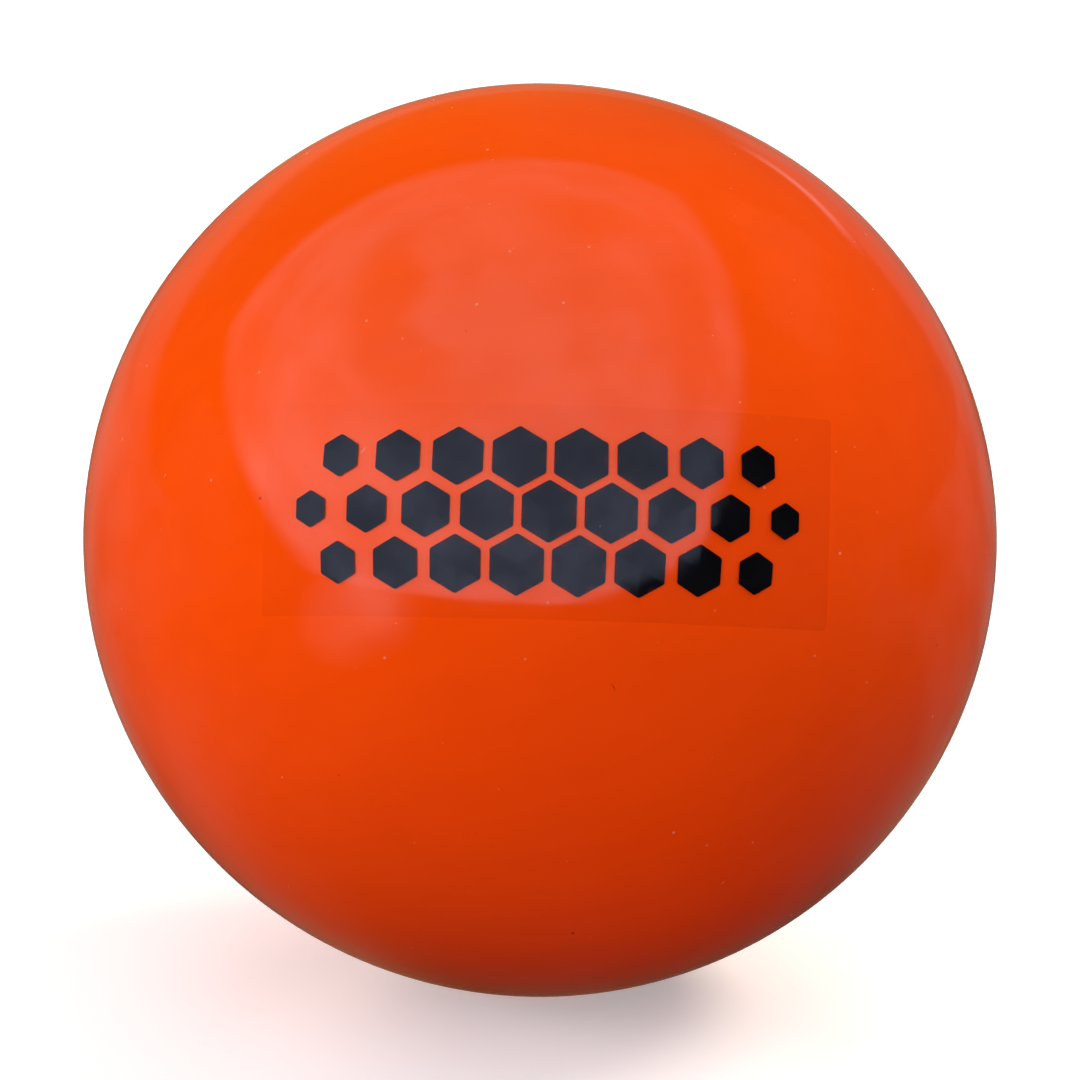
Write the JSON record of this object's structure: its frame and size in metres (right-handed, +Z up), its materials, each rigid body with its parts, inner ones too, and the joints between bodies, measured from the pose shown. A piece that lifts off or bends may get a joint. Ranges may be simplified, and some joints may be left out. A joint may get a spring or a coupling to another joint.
{
  "type": "indoor hockey ball",
  "caption": "Smooth glossy orange ball for indoor hockey: a moulded cork core under a PVC cover welded at a tongue-and-groove seam, with a clear decal film on its front.",
  "frame": {"origin": "the ball's centre", "axes": "+Z up, -Y towards the front, where the decal film is, +X to the right seen from the front; the seam of the cover lies in the plane y = 0"},
  "size_m": [0.073, 0.073, 0.073],
  "materials": {
    "cover_orange": "polished",
    "core_cork": "matte",
    "film_clear": "polished"
  },
  "bodies": {
    "root": {"cork_core": "core_cork", "front_cover_half": "cover_orange", "rear_cover_half": "cover_orange", "decal_film": "film_clear"}
  },
  "joints": []
}
